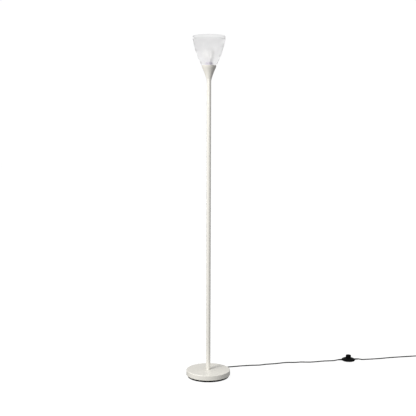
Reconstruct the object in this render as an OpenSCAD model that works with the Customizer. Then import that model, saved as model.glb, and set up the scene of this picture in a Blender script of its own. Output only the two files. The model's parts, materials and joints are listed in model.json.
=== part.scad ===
// Torchiere floor lamp: weighted round base, straight pole in three sections, metal cup
// and an open frosted glass shade, with a foot switch on its cord.
// The base stands on z = 0 and the pole is on the Z axis. All sizes are in millimetres.

/* [Overall] */
// Height from the floor to the rim of the shade
lamp_h = 1750; // [1500:5:1900]

/* [Base] */
// Outside diameter of the steel base cover
base_d = 228; // [200:2:260]
// Height of the top of the base above the floor
base_h = 37; // [34:0.5:48]
// Height of the lower edge of the base cover above the floor
skirt_z = 11.4; // [9:0.2:13]
// Radius of the cover's upper edge
base_edge_r = 3.6; // [2.5:0.1:6]
// Sheet thickness of the base cover
cover_t = 1.2; // [0.8:0.1:1.5]
// Outside diameter of the plastic tray under the base
tray_d = 215; // [190:1:216]
// Direction in which the cord leaves the base, anticlockwise from +X
exit_angle = 60; // [50:1:75]

/* [Pole] */
// Outside diameter of the pole
pole_d = 22; // [20:0.5:28]
// Wall thickness of the pole
pole_wall = 1; // [0.8:0.1:1.5]

/* [Cup and shade] */
// Height of the metal cup under the shade
cup_h = 74; // [70:1:80]
// Outside diameter of the cup's rim
cup_d = 75.6; // [72:0.2:80]
// Outside diameter of the shade's rim
shade_d = 166; // [150:1:190]
// Depth that the shade sits inside the cup
shade_seat = 7; // [5:0.5:9]
// Height of the thicker band round the shade's rim
band_h = 17; // [10:1:25]
// Thickness of the shade's glass
glass_t = 3.2; // [2.5:0.1:4]

/* [Bulb] */
// Largest diameter of the bulb
bulb_d = 60; // [45:1:62]
// Length of the bulb with its cap
bulb_l = 106; // [95:1:112]

/* [Cord] */
// Outside diameter of the cord
cord_d = 6; // [5:0.2:6]
// Diameter of the stored coil at the middle of its turns
coil_d = 66; // [60:1:72]

/* [Foot switch] */
// Diameter of the foot switch
switch_d = 74; // [70:1:80]
// Height of the button's top above the floor
button_z = 32.5; // [30:0.5:35]
// Diameter of the button at its foot
button_d = 30; // [24:0.5:31]
// Travel of the button when it is pressed
button_travel = 4; // [3:0.5:4]

/* [Plug] */
// Diameter of the plug's pins
pin_d = 4; // [4:0.1:4.8]
// Length of the plug's pins outside the body
pin_l = 19; // [17:0.5:20]
// Distance between the pins
pin_pitch = 19; // [18:0.5:19]

/* [Hidden] */

// fineness of round surfaces and of small holes
smooth = 128;
fine = 48;
// gaps between pieces that slide or screw together, and between loose pieces
thread_gap = 0.1;
gap = 0.2;
// how far a cutting shape runs past the surface that it cuts
past = 1;

// ---- heights up the lamp ----
pole_top = lamp_h - 220;
section_h = (pole_top - base_h) / 3;
lower_joint = base_h + section_h;
upper_joint = base_h + 2 * section_h;
cup_rim_z = pole_top + cup_h;
shade_z = cup_rim_z - shade_seat;

// ---- base ----
base_r = base_d / 2;
hem_h = 3;
hem_r = base_r - 2 * cover_t;
weight_z = 14.2;
weight_hole_r = 36;
weight_gap = 0.4;
weight_low_bevel = 4;
weight_top_bevel = 5;
tray_r = tray_d / 2;
tray_z = 1;
tray_t = 2.2;
tray_floor_z = tray_z + tray_t;
tray_edge_r = 1.5;
pad_r = 9;
pad_ring_r = 90;
pad_recess = 1.2;
tray_screw_ring_r = 72;
tray_screw_r = 1.5;
tray_boss_r = 5;
tray_pocket_l = 4;
screw_head_r = 3.6;
screw_head_h = 1.8;
screw_seat_r = 3.9;
screw_seat_z = 3.4;
screw_reach = 21;
screw_hole_l = 13;
screw_tip_l = 1.5;
screw_tip_r = 0.4;
screw_slot_w = 0.8;

// ---- lamp thread, M10 x 1, as plain cylinders ----
m10_r = 5;
m10_hole_r = m10_r + thread_gap;
nipple_bore_r = 3.9;
nut_flats = 14;
nut_h = 4.5;
plate_r = 32;
plate_t = 2.5;
nipple_z = 28;
nipple_grip = 20;
head_nipple_l = 43;
insert_h = 25;

// ---- pole ----
pole_r = pole_d / 2;
bore_r = pole_r - pole_wall;
insert_r = bore_r - 0.05;
edge_break = 0.4;
stud_r = 7.5;
stud_l = 20;
stud_bevel = 0.8;
socket_floor_t = 7;
flex_hole_r = 5;

// ---- cup and lampholder ----
cup_t = 1;
cup_r = cup_d / 2;
cup_foot_r = 13.1;
cup_foot_h = 5;
cup_floor_t = 2;
cup_collar_h = 8;
washer_r = 9;
washer_t = 1.5;
holder_r = 19.4;
holder_z = pole_top + 17;
holder_split_z = pole_top + 42;
holder_top_z = pole_top + 92;
holder_flange_r = 27;
holder_flange_t = 3;
holder_bore_r = 14.2;
ring_r = 28;
ring_h = 6;
insert_z = holder_split_z - 6;
insert_top_z = holder_split_z + 6;
bulb_z = insert_top_z + 5;
ridge = 0.5;
ridge_count = 6;
ridge_pitch = 3;
notch_r = 2;
notch_x = ring_r + 0.4;
// the contacts and the screws that clamp the cores, on the insert
contact_x = 9;
clamp_y = 7;
contact_t = 0.8;
contact_w = 5;
rivet_r = 1.6;
rivet_head_r = 3.2;
clamp_head_r = 2.8;
clamp_r = 1.5;
clamp_l = 6;

// ---- shade ----
shade_r = shade_d / 2;
shade_hole_r = holder_r + 0.8;
band_t = 0.6;
band_step = 1.6;
bowl_pull = 14;
bowl_rise = 58;
rim_r = 1.4;

// ---- bulb, E27 cap ----
bulb_r = bulb_d / 2;
cap_r = 13.2;
cap_t = 0.4;
cap_l = 25;
bulb_t = 0.8;
ball_z = bulb_z + bulb_l - bulb_r;
neck_r = cap_r - 1;
neck_angle = -40;
neck_fit = 0.7;
thread_depth = 0.55;
thread_steps = 24;
stem_top_z = bulb_z + 46;
filament_x = 8;
filament_z = bulb_z + 66;
filament_r = 0.3;
filament_bead_r = 0.5;

// ---- cord and its two cores ----
cord_r = cord_d / 2;
cord_hole_r = cord_r + 0.05;
cord_sides = 10;
cord_z = cord_r + 0.1;
exit_z = 6.4;
flex_bend_r = nipple_z - exit_z;
gland_l = 29.5;
gland_r = 4.8;
gland_tip_r = 3.7;
gland_waist_r = 3.8;
gland_flange_r = 4.4;
core_r = 1.1;
core_sides = 8;
core_y = 1.4;
// the coil: two turns beside each other in two layers
coil_x = 1248;
coil_y = 352;
coil_lift = 1;
coil_r = coil_d / 2;
coil_turn_r = coil_r + cord_r;
coil_low_z = coil_lift + cord_r;
coil_high_z = coil_lift + 3 * cord_r;
// where the coil is joined: on its outer, lower turn, and a little before it
coil_angle_in = 102;
join_back = 8;
tie_angle = 215;
tie_w = 10;
tie_t = 0.9;
tie_hole_w = 4 * cord_r + 1.4;
tie_hole_h = 4 * cord_r + 0.1;

// ---- foot switch ----
switch_x = 785;
switch_y = 290;
switch_turn = 8;
switch_r = switch_d / 2;
switch_wall = 2;
switch_floor_z = 1.2;
switch_split_z = 8;
switch_cord_z = 7.5;
switch_dome_z = 18;
switch_relief_l = 20;
switch_relief_r = 4.6;
switch_relief_tip_r = 3.6;
switch_relief_wall = 3.2;
switch_waist_r = 3.4;
switch_flange_r = 3.9;
sheath_x = 30;
half_gap = 0.1;
post_r = 4.2;
post_hole_r = 1.7;
post_head_hole_r = 3.3;
post_head_hole_z = 3.7;
cover_post_r = 3.5;
cover_post_h = 6;
cover_screw_hole_r = 1.4;
button_wall = 2.6;
button_top_t = 3;
button_r = button_d / 2;
button_flange_r = button_r + 2;
button_flange_t = 1.6;
button_flange_top = switch_dome_z - 3;
block_z = switch_floor_z + switch_wall + gap;
block_top_z = 9;
block_l = 24;
block_w = 18;
plunger_r = 3.6;
plunger_dip = 0.6;
terminal_x = 16;
terminal_y = 6;
terminal_l = 6.8;
terminal_w = 5;
spring_r = 6;
spring_wire = 0.5;
spring_turns = 6;
spring_sides = 12;
spring_low_z = block_top_z + spring_wire + gap;
spring_rise = button_z - button_top_t - 1 - spring_wire - gap - spring_low_z;
foot_ring_r = 22;
foot_r = 4;
switch_post_y = 24;

// ---- plug ----
plug_x = coil_x + coil_r + cord_r;
plug_w = 35;
plug_t = 13.6;
plug_l = 36;
plug_relief_l = 26;
plug_back_y = 304;
plug_face_y = plug_back_y - plug_l;
plug_z = plug_t / 2;
plug_back_w = 17;
plug_back_t = 12;
plug_corner_r = 5;
plug_bore_l = 14;
plug_collar_r = 4.2;
plug_collar_l = 3;
pin_root = 8.8;
pin_tip_r = 1.2;
sleeve_l = 10;
sleeve_t = 0.25;
sleeve_r = pin_d / 2 - 0.2;

// The cord's route on the floor, from the base to the foot switch: x and y of each point
route_to_switch = [
    [77, 132], [93, 146], [116, 155], [145, 163], [174, 172], [201, 178], [229, 184],
    [256, 187], [284, 191], [303, 199], [320, 206], [342, 211], [368, 217], [397, 228],
    [424, 238], [448, 242], [470, 241], [492, 245], [514, 250], [540, 249], [564, 249],
    [588, 253], [612, 260], [640, 269], [672, 274], [700, 278]
];
// and from the foot switch to the coil
route_to_coil = [
    [868, 302], [892, 307], [918, 311], [945, 317], [970, 323], [998, 332], [1028, 341],
    [1060, 349], [1092, 356], [1124, 363], [1156, 370], [1188, 376.5], [1214, 382]
];

// ---- functions ----
function arc(x, y, r, from, to, steps) =
    [for (i = [0:steps]) let (a = from + (to - from) * i / steps) [x + r * cos(a), y + r * sin(a)]];
function bend(a, b, c, steps) =
    [for (i = [0:steps]) let (t = i / steps) a * (1 - t) ^ 2 + b * 2 * t * (1 - t) + c * t ^ 2];
function reversed(list) = [for (i = [len(list) - 1:-1:0]) list[i]];
function unit(v) = v / norm(v);
function polar(r, a, z) = [r * cos(a), r * sin(a), z];
// a smooth curve through points, with steps pieces between each two
function through(p, steps) = [
    for (i = [0:len(p) - 2], j = [0:steps - 1])
        let (a = p[max(i - 1, 0)], b = p[i], c = p[i + 1], d = p[min(i + 2, len(p) - 1)], t = j / steps)
            0.5 * (2 * b + (c - a) * t + (2 * a - 5 * b + 4 * c - d) * t ^ 2
                + (3 * b - a - 3 * c + d) * t ^ 3),
    p[len(p) - 1]
];
function heading(p, i) = unit(p[min(i + 1, len(p) - 1)] - p[max(i - 1, 0)]);
function ring_at(p, i, r, sides, up) =
    let (t = heading(p, i), s = unit(cross(up, t)), u = cross(t, s))
        [for (k = [0:sides - 1]) p[i] + r * (cos(360 * k / sides) * s + sin(360 * k / sides) * u)];
function on_floor(p) = [p[0], p[1], cord_z];
function switch_point(x, z) =
    [switch_x + x * cos(switch_turn), switch_y + x * sin(switch_turn), z];

// ---- shapes used by several parts ----
module lathe(outline) rotate_extrude($fn = smooth) polygon(outline);

module tube(z, h, r, hole) translate([0, 0, z]) difference() {
    cylinder(h = h, r = r, $fn = smooth);
    translate([0, 0, -past]) cylinder(h = h + 2 * past, r = hole, $fn = smooth);
}

module hex_nut(z) translate([0, 0, z]) difference() {
    cylinder(h = nut_h, r = nut_flats / sqrt(3), $fn = 6);
    translate([0, 0, -past]) cylinder(h = nut_h + 2 * past, r = m10_hole_r, $fn = fine);
}

// a round bar swept along points, with its ends closed
module bar_along(p, r, sides, up = [0, 0, 1]) {
    n = len(p);
    polyhedron(
        points = [for (i = [0:n - 1]) each ring_at(p, i, r, sides, up)],
        faces = [
            [for (k = [0:sides - 1]) k],
            for (i = [0:n - 2], k = [0:sides - 1])
                let (a = i * sides + k, b = i * sides + (k + 1) % sides)
                    each [[a, a + sides, b + sides], [a, b + sides, b]],
            [for (k = [sides - 1:-1:0]) (n - 1) * sides + k]
        ]
    );
}

// a screw pointing up from z = 0, with a cross recess in its head
module screw(head_r, head_h, r, l) difference() {
    union() {
        cylinder(h = head_h, r = head_r, $fn = fine);
        translate([0, 0, head_h]) cylinder(h = l - screw_tip_l, r = r, $fn = fine);
        translate([0, 0, head_h + l - screw_tip_l])
            cylinder(h = screw_tip_l, r1 = r, r2 = screw_tip_r, $fn = fine);
    }
    for (a = [0, 90]) rotate(a) cube([1.2 * head_r, screw_slot_w, head_h], center = true);
}

// a tapered sleeve along +X from x = 0, with a waist for the wall that holds it
// and a flange behind that wall
module strain_relief(l, root_r, tip_r, wall, waist_r, flange_r) rotate([0, 90, 0])
    rotate_extrude($fn = fine) polygon([
        [cord_hole_r, -wall - 2], [flange_r, -wall - 2], [flange_r, -wall - gap],
        [waist_r, -wall - gap], [waist_r, gap], [root_r, gap],
        [root_r, 3], [tip_r, l - 0.8], [tip_r - 0.3, l], [cord_hole_r, l]
    ]);

module at_switch() translate([switch_x, switch_y, 0]) rotate(switch_turn) children();

// ---- base ----
module base_cover() color("ivory") lathe(concat(
    [[hem_r, skirt_z], [base_r, skirt_z]],
    arc(base_r - base_edge_r, base_h - base_edge_r, base_edge_r, 0, 90, 8),
    [[m10_hole_r, base_h], [m10_hole_r, base_h - cover_t]],
    arc(base_r - base_edge_r, base_h - base_edge_r, base_edge_r - cover_t, 90, 0, 6),
    [[base_r - cover_t, skirt_z + hem_h], [hem_r, skirt_z + hem_h]]
));

module base_weight() color("darkgray") difference() {
    lathe([
        [weight_hole_r, weight_z], [hem_r - weight_low_bevel, weight_z],
        [hem_r - weight_gap, weight_z + weight_low_bevel],
        [hem_r - weight_gap, base_h - cover_t - weight_top_bevel],
        [hem_r - weight_top_bevel, base_h - cover_t],
        [weight_hole_r, base_h - cover_t]
    ]);
    for (a = [0:120:240]) translate(polar(tray_screw_ring_r, a, weight_z - past))
        cylinder(h = screw_hole_l + past, r = tray_screw_r + 0.05, $fn = fine);
}

module base_tray() color("black") difference() {
    union() {
        lathe(concat(
            [[0, tray_z]],
            arc(tray_r - tray_edge_r, tray_z + tray_edge_r, tray_edge_r, -90, 0, 4),
            [
                [tray_r, skirt_z + 0.6], [hem_r - 0.6, skirt_z + 0.6], [hem_r - 0.6, weight_z - gap],
                [tray_r - tray_t, weight_z - gap], [tray_r - tray_t, tray_floor_z], [0, tray_floor_z]
            ]
        ));
        for (a = [0:120:240]) translate(polar(tray_screw_ring_r, a, tray_z + tray_t / 2))
            cylinder(h = weight_z - tray_z - tray_t / 2, r = tray_boss_r, $fn = fine);
    }
    for (a = [0:120:240]) translate(polar(tray_screw_ring_r, a, 0)) {
        cylinder(h = weight_z + past, r = tray_screw_r + 0.3, $fn = fine);
        cylinder(h = screw_seat_z, r = screw_seat_r, $fn = fine);
    }
    for (a = [30:90:300]) translate(polar(pad_ring_r, a, 0))
        cylinder(h = tray_z + pad_recess, r = pad_r + gap, $fn = fine);
    rotate(exit_angle) translate([tray_r, 0, exit_z]) rotate([0, 90, 0]) {
        translate([0, 0, -6]) cylinder(h = 12, r = gland_waist_r + gap, $fn = fine);
        translate([0, 0, -tray_t - tray_pocket_l])
            cylinder(h = tray_pocket_l + gap, r = gland_flange_r + gap, $fn = fine);
    }
}

module base_pads() color("dimgray") for (a = [30:90:300]) translate(polar(pad_ring_r, a, 0))
    cylinder(h = tray_z + pad_recess, r = pad_r, $fn = fine);

module tray_screws() color("silver") for (a = [0:120:240])
    translate(polar(tray_screw_ring_r, a, screw_seat_z - screw_head_h))
        screw(screw_head_r, screw_head_h, tray_screw_r, screw_reach);

module clamp_plate() color("silver") tube(base_h - cover_t - plate_t, plate_t, plate_r, m10_hole_r);

module base_nipple() color("silver") tube(nipple_z, base_h + nipple_grip - nipple_z, m10_r, nipple_bore_r);

module base_nut() color("silver") hex_nut(base_h - cover_t - plate_t - nut_h);

module cord_gland() color("black") rotate(exit_angle) translate([tray_r, 0, exit_z])
    strain_relief(gland_l, gland_r, gland_tip_r, tray_t + gap, gland_waist_r, gland_flange_r);

// ---- pole ----
module pole_section(z) color("ivory") lathe([
    [bore_r, z], [pole_r - edge_break, z], [pole_r, z + edge_break],
    [pole_r, z + section_h - edge_break], [pole_r - edge_break, z + section_h], [bore_r, z + section_h]
]);
module pole_lower() pole_section(base_h);
module pole_middle() pole_section(lower_joint);
module pole_upper() pole_section(upper_joint);

module foot_insert() color("silver") tube(base_h, insert_h, insert_r, m10_hole_r);
module top_insert() color("silver") tube(pole_top - insert_h, insert_h, insert_r, m10_hole_r);

// the threaded socket in the top of one section, and the stud in the foot of the next
module joint_socket(z) color("silver") difference() {
    tube(z - stud_l - 1 - socket_floor_t, stud_l + 1 + socket_floor_t, insert_r, flex_hole_r);
    translate([0, 0, z - stud_l - 1]) cylinder(h = stud_l + 1 + past, r = stud_r + thread_gap, $fn = fine);
}
module joint_stud(z) color("silver") lathe([
    [flex_hole_r, z - stud_l], [stud_r - stud_bevel, z - stud_l], [stud_r, z - stud_l + stud_bevel],
    [stud_r, z],
    [insert_r, z], [insert_r, z + stud_l], [flex_hole_r, z + stud_l]
]);
module lower_socket() joint_socket(lower_joint);
module lower_stud() joint_stud(lower_joint);
module upper_socket() joint_socket(upper_joint);
module upper_stud() joint_stud(upper_joint);

// ---- cup ----
// the cup's wall, moved in by an amount: a small foot, a cone, and a short steeper collar
function cup_wall(in) = concat(
    [
        [cup_foot_r - 0.4 - in, pole_top + 2.6], [cup_foot_r - in, pole_top + 3.4],
        [cup_foot_r - in, pole_top + cup_foot_h], [cup_foot_r - 0.4 - in, pole_top + cup_foot_h + 1.4]
    ],
    bend(
        [cup_r - 3.6 - in, cup_rim_z - cup_collar_h - 4], [cup_r - 0.6 - in, cup_rim_z - cup_collar_h + 4],
        [cup_r - in, cup_rim_z - 0.4], 5
    )
);
module shade_cup() color("ivory") lathe(concat(
    [[m10_hole_r, pole_top], [cup_foot_r - 1.4, pole_top], [cup_foot_r - 0.6, pole_top + 0.6]],
    cup_wall(0),
    [[cup_r - 0.4, cup_rim_z], [cup_r - cup_t + 0.2, cup_rim_z]],
    reversed(cup_wall(cup_t)),
    [[cup_foot_r - 0.4 - cup_t, pole_top + cup_floor_t], [m10_hole_r, pole_top + cup_floor_t]]
));

module head_nipple() color("silver")
    tube(pole_top - nipple_grip + 2, head_nipple_l, m10_r, nipple_bore_r);
module cup_washer() color("silver") tube(pole_top + cup_floor_t, washer_t, washer_r, m10_hole_r);
module cup_nut() color("silver") hex_nut(pole_top + cup_floor_t + washer_t);

// ---- lampholder, E27 ----
module holder_cap() color("dimgray") lathe([
    [m10_hole_r, holder_z], [9, holder_z], [11, holder_z + 1.5], [12, holder_z + 5],
    [holder_r - 0.6, holder_z + 14], [holder_r, holder_z + 16], [holder_r, holder_split_z],
    [holder_r - 2, holder_split_z], [holder_r - 2, holder_z + 16], [10, holder_z + 9],
    [m10_hole_r, holder_z + 9]
]);

// the body has a flange under the glass and ridges for the ring above it
module holder_body() color("dimgray") difference() {
    lathe(concat(
        [
            [holder_r - 2, holder_split_z], [holder_r, holder_split_z],
            [holder_r, shade_z - holder_flange_t], [holder_flange_r, shade_z - holder_flange_t],
            [holder_flange_r, shade_z], [holder_r - ridge, shade_z], [holder_r - ridge, shade_z + 4]
        ],
        [for (i = [0:ridge_count - 1]) let (z = shade_z + ridge_pitch * i) each [
            [holder_r, z + 5], [holder_r, z + 6], [holder_r - ridge, z + 7]
        ]],
        [
            [holder_r - ridge, holder_top_z - 1], [holder_r - 1.5, holder_top_z],
            [holder_bore_r, holder_top_z], [holder_bore_r, insert_top_z + gap],
            [holder_r - 2, insert_top_z + gap]
        ]
    ));
    for (a = [45:90:315]) rotate(a) translate([holder_r, 0, shade_z - holder_flange_t - 8])
        cube([2, 3, 14], center = true);
}

module holder_insert() color("white") difference() {
    translate([0, 0, insert_z]) cylinder(h = insert_top_z - insert_z, r = holder_r - 2.2, $fn = smooth);
    for (x = [-contact_x, contact_x]) {
        translate([x, 0, insert_z - past])
            cylinder(h = insert_top_z - insert_z + 2 * past, r = rivet_r + 0.1, $fn = fine);
        translate([x, -clamp_y, insert_z - past])
            cylinder(h = clamp_l + 1 + past, r = clamp_r + 0.1, $fn = fine);
    }
}

module holder_sleeve() color("gold")
    tube(insert_top_z + 6, 22, holder_bore_r - gap, holder_bore_r - gap - 0.4);

// the springy strips that press on the bulb's tip and on the side of its cap
module contact_strip(foot_x, tip_x, tip_z) rotate([90, 0, 0])
    linear_extrude(height = contact_w, center = true) polygon([
        [foot_x, insert_top_z], [tip_x, tip_z - 0.6], [tip_x, tip_z], [foot_x, insert_top_z + contact_t]
    ]);
module contact_rivet(x) {
    translate([x, 0, insert_top_z]) cylinder(h = contact_t, r = rivet_head_r, $fn = fine);
    translate([x, 0, insert_z + 1]) cylinder(h = insert_top_z - insert_z - 1, r = rivet_r, $fn = fine);
}
module centre_contact() color("gold") union() {
    contact_strip(-6.5, 2.5, bulb_z - gap);
    contact_rivet(-contact_x);
}
module side_contact() color("gold") union() {
    contact_strip(contact_x, 12.4, insert_top_z + 5.6);
    contact_rivet(contact_x);
}

module terminal_screws() color("gold") for (x = [-contact_x, contact_x])
    translate([x, -clamp_y, insert_z - 1.6]) screw(clamp_head_r, 1.6, clamp_r, clamp_l);

module shade_ring() color("dimgray") difference() {
    tube(shade_z + glass_t, ring_h, ring_r, holder_r + gap);
    for (a = [0:30:330]) rotate(a) translate([notch_x, 0, shade_z + glass_t + ring_h / 2])
        cylinder(h = ring_h + past, r = notch_r, center = true, $fn = fine);
}

// ---- shade ----
// the bowl's curve from the cup to below the band, moved in by an amount
function bowl(in, top) = bend(
    [cup_r - cup_t - 0.4 - in, cup_rim_z - 0.4], [shade_r - bowl_pull - in, cup_rim_z + bowl_rise],
    [shade_r - band_step - in, top], 16
);
module shade() color("whitesmoke", 0.8) lathe(concat(
    [[shade_hole_r, shade_z], [cup_r - cup_t - 8, shade_z]],
    bend(
        [cup_r - cup_t - 6.6, shade_z + 0.3], [cup_r - cup_t - 2.4, shade_z + 1.6],
        [cup_r - cup_t - 1.2, cup_rim_z - 2], 4
    ),
    bowl(0, lamp_h - band_h),
    [[shade_r - band_step + band_t, lamp_h - band_h + 1], [shade_r, lamp_h - rim_r]],
    arc(shade_r - rim_r, lamp_h - rim_r, rim_r, 15, 165, 6),
    [[shade_r - 2 * rim_r, lamp_h - rim_r], [shade_r - band_step - glass_t, lamp_h - band_h]],
    reversed(bowl(glass_t, lamp_h - band_h - 1)),
    [
        [cup_r - cup_t - 5.6, shade_z + glass_t + 0.8], [ring_r + 0.8, shade_z + glass_t],
        [shade_hole_r, shade_z + glass_t]
    ]
));

// ---- bulb ----
// its neck is straight as far as the cap's edge, then curves out into the ball
function ball_start(in) = arc(0, ball_z, bulb_r - in, neck_angle, neck_angle, 1)[0];
function neck_bend_z(in) = ball_start(in)[1]
    + (ball_start(in)[0] - neck_r + in) * cos(neck_angle) / sin(neck_angle);
function bulb_wall(in) = concat(
    [[neck_r - neck_fit - in, bulb_z + cap_l - 8], [neck_r - neck_fit - in, bulb_z + cap_l - 1]],
    bend([neck_r - in, bulb_z + cap_l + 1], [neck_r - in, neck_bend_z(in)], ball_start(in), 8),
    arc(0, ball_z, bulb_r - in, neck_angle + 6, 90, 20)
);
module bulb_glass() color("white", 0.6) lathe(concat(bulb_wall(0), reversed(bulb_wall(bulb_t))));

// the screw shell, with its rounded thread
function thread_wall(in) = [for (i = [0:thread_steps])
    [cap_r - in - thread_depth * (1 - cos(i * 90)), bulb_z + 5 + i * 0.74]];
module bulb_cap() color("silver") lathe(concat(
    [[7, bulb_z + 3], [cap_r - 1.2, bulb_z + 4.2]],
    thread_wall(0),
    [[cap_r - 0.4, bulb_z + cap_l], [cap_r - 0.4 - cap_t, bulb_z + cap_l]],
    reversed(thread_wall(cap_t)),
    [[cap_r - 1.6, bulb_z + 4.6], [7, bulb_z + 3 + cap_t]]
));
module bulb_insulator() color("black") lathe([
    [3, bulb_z + 1], [4.6, bulb_z + 1], [7, bulb_z + 3 - 0.02], [7, bulb_z + 4.4], [3, bulb_z + 4.4]
]);
module bulb_contact() color("silver") lathe([
    [0, bulb_z], [3.2, bulb_z], [4.4, bulb_z + 1], [3, bulb_z + 1], [3, bulb_z + 3], [0, bulb_z + 3]
]);
module bulb_stem() color("white", 0.4) lathe([
    [0, stem_top_z], [2.6, stem_top_z], [2.6, bulb_z + 34], [4, bulb_z + 30],
    [cap_r - 2.6, bulb_z + 20], [cap_r - 2.6, bulb_z + 18], [3, bulb_z + 26], [0, bulb_z + 28]
]);
module bulb_filament() color("silver") union() {
    for (x = [-filament_x, filament_x]) translate([x, 0, filament_z])
        sphere(r = filament_bead_r, $fn = fine);
    bar_along([
        [-filament_x, 0, filament_z], [-1.4, 0, stem_top_z + 0.4],
        [1.4, 0, stem_top_z + 0.4], [filament_x, 0, filament_z]
    ], filament_r, 8, [0, 1, 0]);
    bar_along([
        [-filament_x, 0, filament_z], [-filament_x / 2, 3, filament_z],
        [filament_x / 2, 3, filament_z], [filament_x, 0, filament_z]
    ], filament_r, 8);
}

// ---- flex inside the base and the pole ----
// up the axis, round a bend under the nut, and out to the gland
module inner_flex() color("black") rotate(exit_angle) bar_along(concat(
    [[0, 0, holder_z + 7]],
    [for (p = arc(flex_bend_r, nipple_z, flex_bend_r, 180, 270, 9)) [p[0], 0, p[1]]],
    [[tray_r, 0, exit_z]]
), cord_r, cord_sides, [0, 1, 0]);
module holder_cores() color("saddlebrown") for (s = [-1, 1])
    bar_along([
        [s * core_y, 0, holder_z + 7], [s * core_y, 0, holder_z + 8], [s * 2.4, -1, holder_z + 10],
        [s * 8, -5.6, holder_z + 14], [s * contact_x, -clamp_y, insert_z - 3],
        [s * contact_x, -clamp_y, insert_z - 1.7]
    ], core_r, core_sides, [1, 0, 0]);

// ---- foot switch ----
// the holes for the cord's strain reliefs, wider inside where their flanges sit
module cord_holes() for (a = [0, 180]) rotate(a) translate([switch_r, 0, switch_cord_z]) rotate([0, 90, 0]) {
    translate([0, 0, -10]) cylinder(h = 12, r = switch_waist_r + gap, $fn = fine);
    translate([0, 0, -10]) cylinder(h = 10 - switch_relief_wall, r = switch_flange_r + gap / 2, $fn = fine);
}

module switch_base() color("black") at_switch() difference() {
    union() {
        lathe(concat(
            [[0, switch_floor_z]],
            bend([switch_r - 5, switch_floor_z], [switch_r - 0.8, switch_floor_z + 0.6],
                [switch_r, switch_split_z - 2], 6),
            [[switch_r, switch_split_z], [switch_r - switch_wall, switch_split_z]],
            bend([switch_r - switch_wall, switch_split_z - 1], [switch_r - 4, switch_floor_z + 3],
                [switch_r - 10, switch_floor_z + switch_wall], 6),
            [[0, switch_floor_z + switch_wall]]
        ));
        for (s = [-1, 1]) translate([0, s * switch_post_y, switch_floor_z + 1])
            cylinder(h = switch_split_z - switch_floor_z - 1, r = post_r, $fn = fine);
    }
    for (s = [-1, 1]) translate([0, s * switch_post_y, 0]) {
        cylinder(h = post_head_hole_z, r = post_head_hole_r, $fn = fine);
        cylinder(h = switch_split_z + past, r = post_hole_r, $fn = fine);
    }
    cord_holes();
}

// the cover's curve from its edge up to the button, moved in by an amount
function dome(in) = bend(
    [switch_r - 0.3 - in, switch_split_z + 2], [switch_r - 8 - in, switch_dome_z - 3 - in / 2],
    [button_r + 4, switch_dome_z - 1 - in], 8
);
module switch_cover() color("black") at_switch() difference() {
    union() {
        lathe(concat(
            [[switch_r - switch_wall, switch_split_z + half_gap], [switch_r, switch_split_z + half_gap]],
            dome(0),
            [
                [button_r + 2.4, switch_dome_z], [button_r + 1.6, switch_dome_z + 1],
                [button_r + 0.4, switch_dome_z + 1], [button_r + 0.4, switch_dome_z - 2.4]
            ],
            reversed(dome(switch_wall))
        ));
        for (s = [-1, 1]) translate([0, s * switch_post_y, switch_split_z + half_gap])
            cylinder(h = cover_post_h, r = cover_post_r, $fn = fine);
    }
    for (s = [-1, 1]) translate([0, s * switch_post_y, switch_split_z - past])
        cylinder(h = cover_post_h, r = cover_screw_hole_r, $fn = fine);
    cord_holes();
}

module switch_button() color("black") at_switch() lathe(concat(
    [
        [button_r - 2, button_flange_top - button_flange_t],
        [button_flange_r, button_flange_top - button_flange_t], [button_flange_r, button_flange_top],
        [button_r, button_flange_top]
    ],
    arc(button_r - button_wall, button_z - 2, 2, 0, 80, 5),
    [
        [5, button_z - 0.5], [0, button_z - 0.6], [0, button_z - button_top_t],
        [button_r - button_wall, button_z - button_top_t]
    ]
));

module switch_plunger() color("white") at_switch() lathe([
    [0, block_top_z - plunger_dip], [plunger_r - 0.6, block_top_z - plunger_dip],
    [plunger_r, block_top_z], [plunger_r, button_z - button_top_t - 2],
    [plunger_r + 3, button_z - button_top_t - 1], [plunger_r + 3, button_z - button_top_t],
    [0, button_z - button_top_t]
]);

// the spring stands on the block, round the plunger
module switch_spring() color("silver") at_switch() bar_along([
    for (i = [0:spring_sides * spring_turns]) polar(spring_r, 360 / spring_sides * i,
        spring_low_z + spring_rise * i / (spring_sides * spring_turns))
], spring_wire, 6);

module switch_block() color("white") at_switch() difference() {
    translate([-block_l / 2, -block_w / 2, block_z]) cube([block_l, block_w, block_top_z - block_z]);
    translate([0, 0, block_top_z - plunger_dip - button_travel - gap])
        cylinder(h = 10, r = plunger_r + 0.3, $fn = fine);
}

module switch_terminals() color("gold") at_switch()
    for (x = [-terminal_x, terminal_x], y = [-terminal_y, terminal_y]) difference() {
        translate([x - terminal_l / 2, y - terminal_w / 2, block_z]) cube([terminal_l, terminal_w, 5]);
        translate([x, y, block_z + 5]) cube([4, screw_slot_w, 1.6], center = true);
    }

module switch_screws() color("silver") at_switch() for (s = [-1, 1])
    translate([0, s * switch_post_y, 1.9]) screw(3, 1.8, 1.3, 8.6);

module switch_feet() color("dimgray") at_switch() for (a = [45:90:315])
    translate(polar(foot_ring_r, a, 0)) cylinder(h = switch_floor_z, r = foot_r, $fn = fine);

module switch_cores() color("saddlebrown") at_switch() for (s = [-1, 1], t = [-1, 1])
    bar_along([
        [s * sheath_x, t * core_y, switch_cord_z], [s * (sheath_x - 1), t * core_y, switch_cord_z],
        [s * (sheath_x - 4), t * 2.2, switch_cord_z], [s * 22.6, t * 5.4, switch_cord_z - 1.6],
        [s * 20.8, t * terminal_y, switch_cord_z - 2],
        [s * (terminal_x + terminal_l / 2), t * terminal_y, switch_cord_z - 2]
    ], core_r, core_sides);

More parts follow.
